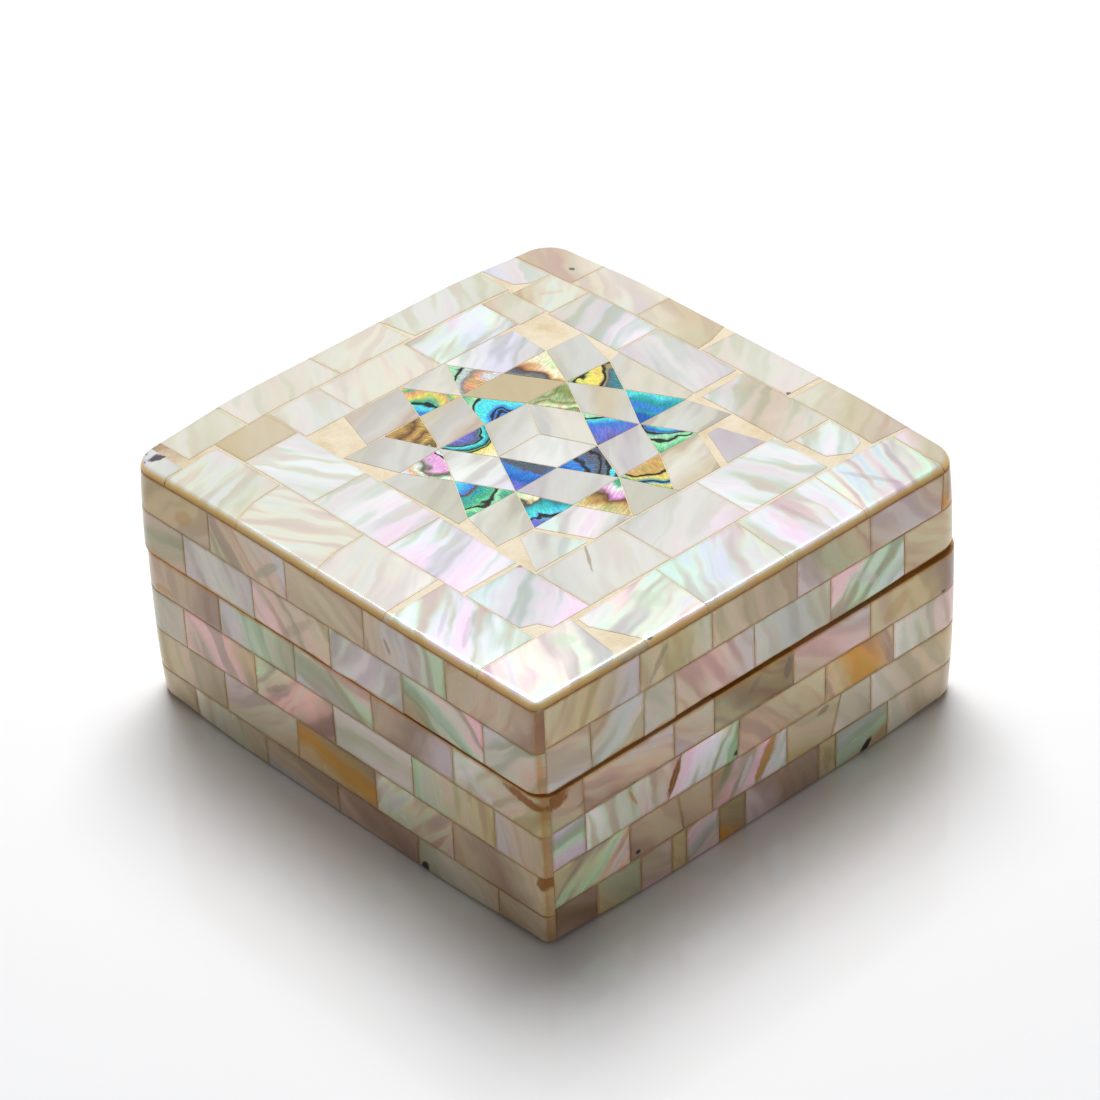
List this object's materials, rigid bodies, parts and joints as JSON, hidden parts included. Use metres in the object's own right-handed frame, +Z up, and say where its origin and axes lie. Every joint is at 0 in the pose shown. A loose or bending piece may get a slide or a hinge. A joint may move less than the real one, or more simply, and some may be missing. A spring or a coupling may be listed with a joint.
{
  "type": "trinket box",
  "caption": "Square mother-of-pearl trinket box with a star of abalone triangles on its lift-off lid.",
  "frame": {"origin": "centre of the underside, where the box stands", "axes": "+Z up through the lid; +X along the longer side of the plan, towards the right face; -Y towards the front face"},
  "size_m": [0.08, 0.077, 0.0382],
  "materials": {
    "carcass_wood": "smooth, thinly varnished",
    "side_nacre": "polished mother-of-pearl, taupe with pink and green lustre",
    "top_nacre": "polished mother-of-pearl, cream to white",
    "white_nacre": "polished mother-of-pearl, grey-white",
    "tan_shell": "polished plain shell, tan",
    "abalone": "polished abalone, blue-green with dark bands",
    "resin_fill": "polished tan resin"
  },
  "bodies": {
    "root": {"base_carcass": "carcass_wood", "base_plates_back": "side_nacre", "base_plates_front": "side_nacre", "base_plates_left": "side_nacre", "base_plates_right": "side_nacre", "field_corner_plate_back": "white_nacre", "field_corner_plate_front": "white_nacre", "field_gap_plate_1": "white_nacre", "field_gap_plate_2": "white_nacre", "field_gap_plate_3": "white_nacre", "field_gap_plate_4": "white_nacre", "field_gap_plate_5": "white_nacre", "field_gap_plate_6": "white_nacre", "field_notch_plate_1": "white_nacre", "field_notch_plate_2": "white_nacre", "field_notch_plate_3": "white_nacre", "field_notch_plate_4": "white_nacre", "field_notch_plate_5": "white_nacre", "field_notch_plate_6": "white_nacre", "field_resin_fill": "resin_fill", "lid_carcass": "carcass_wood", "lid_plates_back": "side_nacre", "lid_plates_front": "side_nacre", "lid_plates_left": "side_nacre", "lid_plates_right": "side_nacre", "star_centre_rhombus_1": "white_nacre", "star_centre_rhombus_2": "white_nacre", "star_centre_rhombus_3": "white_nacre", "star_inner_triangle_1": "abalone", "star_inner_triangle_2": "abalone", "star_inner_triangle_3": "abalone", "star_inner_triangle_4": "abalone", "star_inner_triangle_5": "abalone", "star_inner_triangle_6": "abalone", "star_outer_triangle_1": "abalone", "star_outer_triangle_10": "abalone", "star_outer_triangle_11": "abalone", "star_outer_triangle_12": "abalone", "star_outer_triangle_2": "abalone", "star_outer_triangle_3": "abalone", "star_outer_triangle_4": "abalone", "star_outer_triangle_5": "abalone", "star_outer_triangle_6": "abalone", "star_outer_triangle_7": "abalone", "star_outer_triangle_8": "abalone", "star_outer_triangle_9": "abalone", "star_ring_rhombus_1": "white_nacre", "star_ring_rhombus_2": "white_nacre", "star_ring_rhombus_3": "tan_shell", "star_ring_rhombus_4": "white_nacre", "star_ring_rhombus_5": "white_nacre", "star_ring_rhombus_6": "white_nacre", "top_border_inner_back": "top_nacre", "top_border_inner_front": "top_nacre", "top_border_inner_left": "top_nacre", "top_border_inner_right": "top_nacre", "top_border_outer_back": "top_nacre", "top_border_outer_front": "top_nacre", "top_border_outer_left": "top_nacre", "top_border_outer_right": "top_nacre"}
  },
  "joints": []
}
